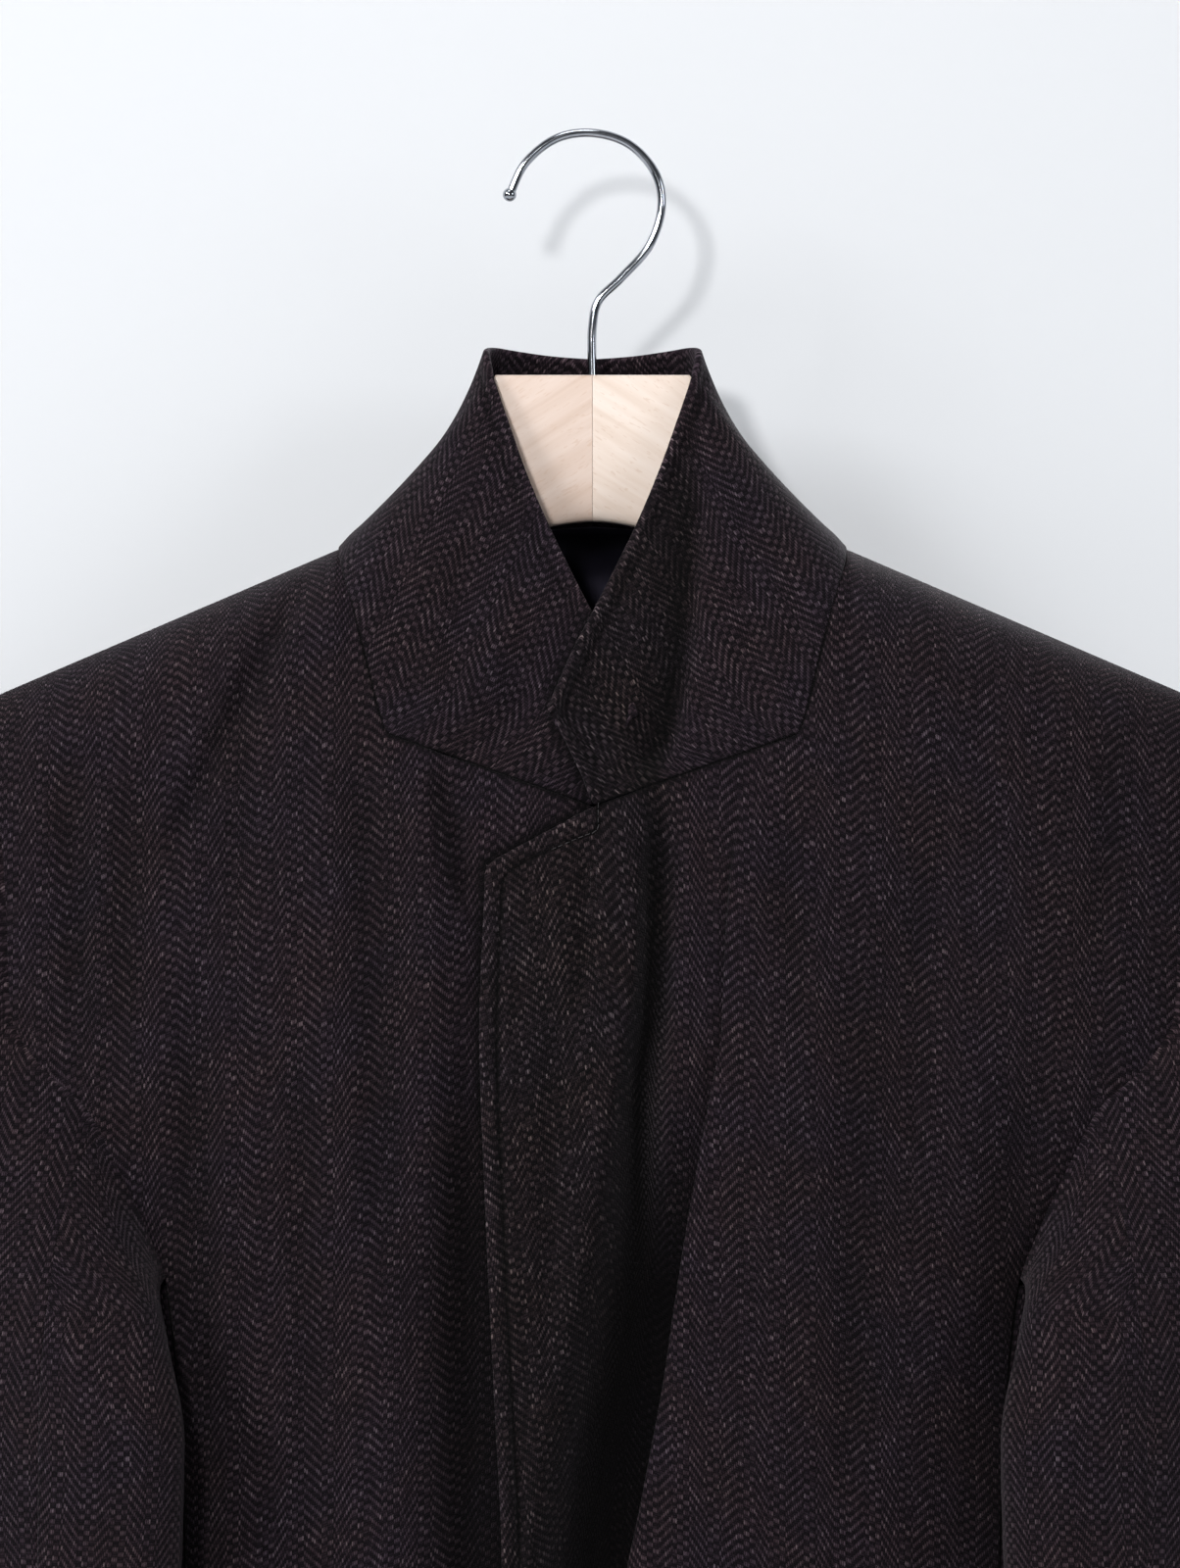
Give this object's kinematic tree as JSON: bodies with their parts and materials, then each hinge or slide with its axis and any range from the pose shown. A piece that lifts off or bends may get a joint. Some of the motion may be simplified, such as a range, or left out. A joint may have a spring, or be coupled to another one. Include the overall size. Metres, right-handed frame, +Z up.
{
  "type": "double-breasted jacket on a wooden hanger",
  "caption": "Dark brown herringbone wool jacket, collar and notched lapels turned up, fronts lapped and buttoned, hanging on a contoured wooden hanger with a steel hook.",
  "frame": {"origin": "inner apex of the hook's curve, where a rail touches it", "axes": "+Z up, the jacket's front faces -Y, +X is the wearer's left"},
  "size_m": [0.5862, 0.1645, 0.9038],
  "materials": {
    "wool": "matt napped herringbone wool",
    "lining": "satin lining",
    "beech": "clear satin lacquer",
    "steel": "polished plated wire",
    "horn": "satin horn"
  },
  "bodies": {
    "root": {"front_left": "wool", "front_right": "wool", "back": "wool", "side_left": "wool", "side_right": "wool", "collar": "wool", "top_sleeve_left": "wool", "top_sleeve_right": "wool", "under_sleeve_left": "wool", "under_sleeve_right": "wool", "back_lining": "lining", "hanger_left": "beech", "hanger_right": "beech", "hook": "steel", "button_1_1": "horn", "button_1_2": "horn", "button_2_1": "horn", "button_2_2": "horn"}
  },
  "joints": []
}
